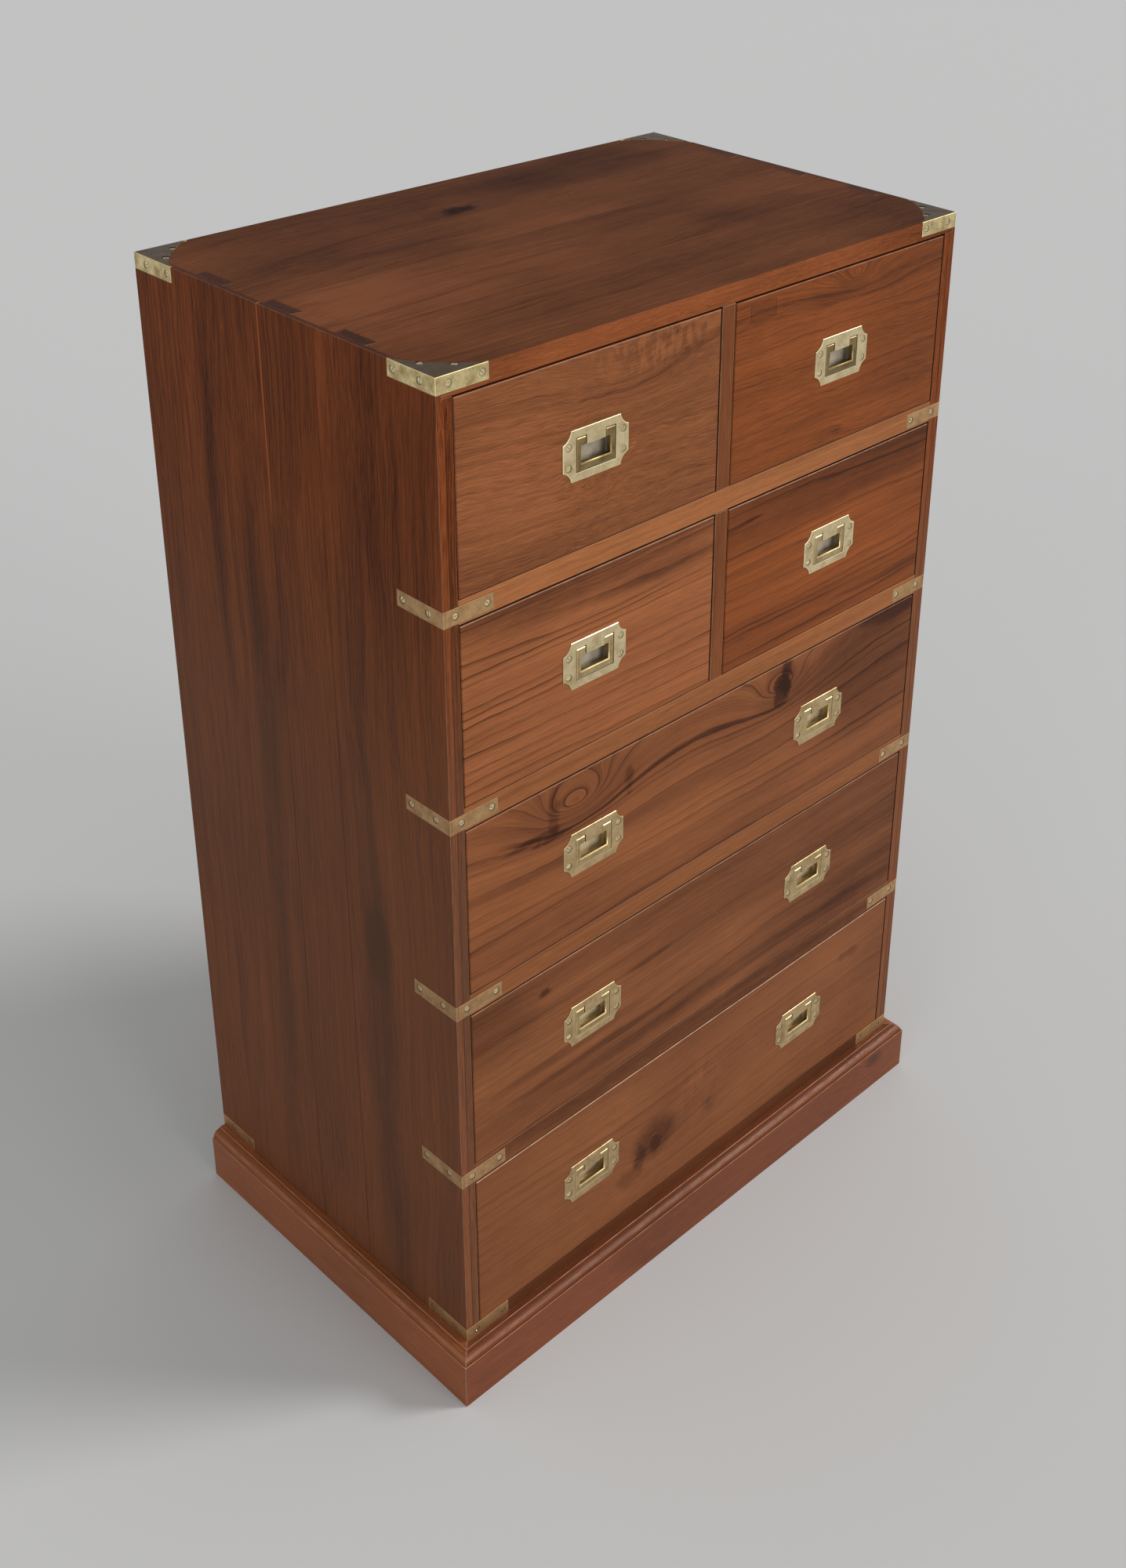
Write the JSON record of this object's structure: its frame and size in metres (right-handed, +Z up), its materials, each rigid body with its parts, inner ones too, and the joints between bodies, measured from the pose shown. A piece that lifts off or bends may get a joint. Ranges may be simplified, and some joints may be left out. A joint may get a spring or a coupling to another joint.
{
  "type": "campaign chest",
  "caption": "Tall teak campaign chest with paired half-width drawers over full-width drawers, recessed brass bail handles, inlaid brass corners and a moulded plinth.",
  "frame": {"origin": "on the floor, under the middle of the chest's bounding box", "axes": "+Z up, drawers open towards -Y, +X to the right for someone facing the drawers"},
  "size_m": [0.736, 0.461, 1.144],
  "materials": {
    "case_wood": "satin shellac over reddish teak",
    "top_wood": "worn satin shellac over dark teak",
    "front_wood": "satin shellac over orange-brown teak",
    "plinth_wood": "satin shellac over reddish teak",
    "back_wood": "dry unpolished boards",
    "lining_wood": "dry pale drawer lining",
    "inner_wood": "dry unpolished wood",
    "mount_brass": "aged brass with a dull polish",
    "handle_brass": "aged brass with a dull polish"
  },
  "bodies": {
    "carcass": {"top_board": "top_wood", "left_side": "case_wood", "right_side": "case_wood", "bottom_board": "case_wood", "back_boards": "back_wood", "rail_1": "case_wood", "rail_2": "case_wood", "rail_3": "case_wood", "rail_4": "case_wood", "upper_divider": "case_wood", "lower_divider": "case_wood", "drawer_runners": "inner_wood", "centre_guides": "inner_wood", "drawer_stops": "inner_wood", "glue_blocks": "inner_wood", "plinth_front": "plinth_wood", "plinth_left": "plinth_wood", "plinth_right": "plinth_wood", "plinth_back": "inner_wood", "top_corner_mounts": "mount_brass", "corner_straps": "mount_brass"},
    "upper_left_drawer": {"upper_left_drawer_front": "front_wood", "upper_left_drawer_box": "lining_wood", "upper_left_drawer_bottom": "lining_wood", "upper_left_drawer_plates": "handle_brass"},
    "upper_left_bail": {"upper_left_bail": "handle_brass"},
    "upper_right_drawer": {"upper_right_drawer_front": "front_wood", "upper_right_drawer_box": "lining_wood", "upper_right_drawer_bottom": "lining_wood", "upper_right_drawer_plates": "handle_brass"},
    "upper_right_bail": {"upper_right_bail": "handle_brass"},
    "second_left_drawer": {"second_left_drawer_front": "front_wood", "second_left_drawer_box": "lining_wood", "second_left_drawer_bottom": "lining_wood", "second_left_drawer_plates": "handle_brass"},
    "second_left_bail": {"second_left_bail": "handle_brass"},
    "second_right_drawer": {"second_right_drawer_front": "front_wood", "second_right_drawer_box": "lining_wood", "second_right_drawer_bottom": "lining_wood", "second_right_drawer_plates": "handle_brass"},
    "second_right_bail": {"second_right_bail": "handle_brass"},
    "third_drawer": {"third_drawer_front": "front_wood", "third_drawer_box": "lining_wood", "third_drawer_bottom": "lining_wood", "third_drawer_plates": "handle_brass"},
    "third_left_bail": {"third_left_bail": "handle_brass"},
    "third_right_bail": {"third_right_bail": "handle_brass"},
    "fourth_drawer": {"fourth_drawer_front": "front_wood", "fourth_drawer_box": "lining_wood", "fourth_drawer_bottom": "lining_wood", "fourth_drawer_plates": "handle_brass"},
    "fourth_left_bail": {"fourth_left_bail": "handle_brass"},
    "fourth_right_bail": {"fourth_right_bail": "handle_brass"},
    "bottom_drawer": {"bottom_drawer_front": "front_wood", "bottom_drawer_box": "lining_wood", "bottom_drawer_bottom": "lining_wood", "bottom_drawer_plates": "handle_brass"},
    "bottom_left_bail": {"bottom_left_bail": "handle_brass"},
    "bottom_right_bail": {"bottom_right_bail": "handle_brass"}
  },
  "joints": [
    {"name": "upper_left_drawer_slide", "type": "slide", "parent": "carcass", "child": "upper_left_drawer", "axis": [0, -1, 0], "range_m": [0, 0.3]},
    {"name": "upper_left_bail_swing", "type": "hinge", "parent": "upper_left_drawer", "child": "upper_left_bail", "pos_m": [-0.171, -0.2108, 1.04175], "axis": [-1, 0, 0], "range_deg": [0, 90]},
    {"name": "upper_right_drawer_slide", "type": "slide", "parent": "carcass", "child": "upper_right_drawer", "axis": [0, -1, 0], "range_m": [0, 0.3]},
    {"name": "upper_right_bail_swing", "type": "hinge", "parent": "upper_right_drawer", "child": "upper_right_bail", "pos_m": [0.171, -0.2108, 1.04175], "axis": [-1, 0, 0], "range_deg": [0, 90]},
    {"name": "second_left_drawer_slide", "type": "slide", "parent": "carcass", "child": "second_left_drawer", "axis": [0, -1, 0], "range_m": [0, 0.3]},
    {"name": "second_left_bail_swing", "type": "hinge", "parent": "second_left_drawer", "child": "second_left_bail", "pos_m": [-0.171, -0.2108, 0.82975], "axis": [-1, 0, 0], "range_deg": [0, 90]},
    {"name": "second_right_drawer_slide", "type": "slide", "parent": "carcass", "child": "second_right_drawer", "axis": [0, -1, 0], "range_m": [0, 0.3]},
    {"name": "second_right_bail_swing", "type": "hinge", "parent": "second_right_drawer", "child": "second_right_bail", "pos_m": [0.171, -0.2108, 0.82975], "axis": [-1, 0, 0], "range_deg": [0, 90]},
    {"name": "third_drawer_slide", "type": "slide", "parent": "carcass", "child": "third_drawer", "axis": [0, -1, 0], "range_m": [0, 0.3]},
    {"name": "third_left_bail_swing", "type": "hinge", "parent": "third_drawer", "child": "third_left_bail", "pos_m": [-0.171, -0.2108, 0.61775], "axis": [-1, 0, 0], "range_deg": [0, 90]},
    {"name": "third_right_bail_swing", "type": "hinge", "parent": "third_drawer", "child": "third_right_bail", "pos_m": [0.171, -0.2108, 0.61775], "axis": [-1, 0, 0], "range_deg": [0, 90]},
    {"name": "fourth_drawer_slide", "type": "slide", "parent": "carcass", "child": "fourth_drawer", "axis": [0, -1, 0], "range_m": [0, 0.3]},
    {"name": "fourth_left_bail_swing", "type": "hinge", "parent": "fourth_drawer", "child": "fourth_left_bail", "pos_m": [-0.171, -0.2108, 0.40575], "axis": [-1, 0, 0], "range_deg": [0, 90]},
    {"name": "fourth_right_bail_swing", "type": "hinge", "parent": "fourth_drawer", "child": "fourth_right_bail", "pos_m": [0.171, -0.2108, 0.40575], "axis": [-1, 0, 0], "range_deg": [0, 90]},
    {"name": "bottom_drawer_slide", "type": "slide", "parent": "carcass", "child": "bottom_drawer", "axis": [0, -1, 0], "range_m": [0, 0.3]},
    {"name": "bottom_left_bail_swing", "type": "hinge", "parent": "bottom_drawer", "child": "bottom_left_bail", "pos_m": [-0.171, -0.2108, 0.19075], "axis": [-1, 0, 0], "range_deg": [0, 90]},
    {"name": "bottom_right_bail_swing", "type": "hinge", "parent": "bottom_drawer", "child": "bottom_right_bail", "pos_m": [0.171, -0.2108, 0.19075], "axis": [-1, 0, 0], "range_deg": [0, 90]}
  ]
}
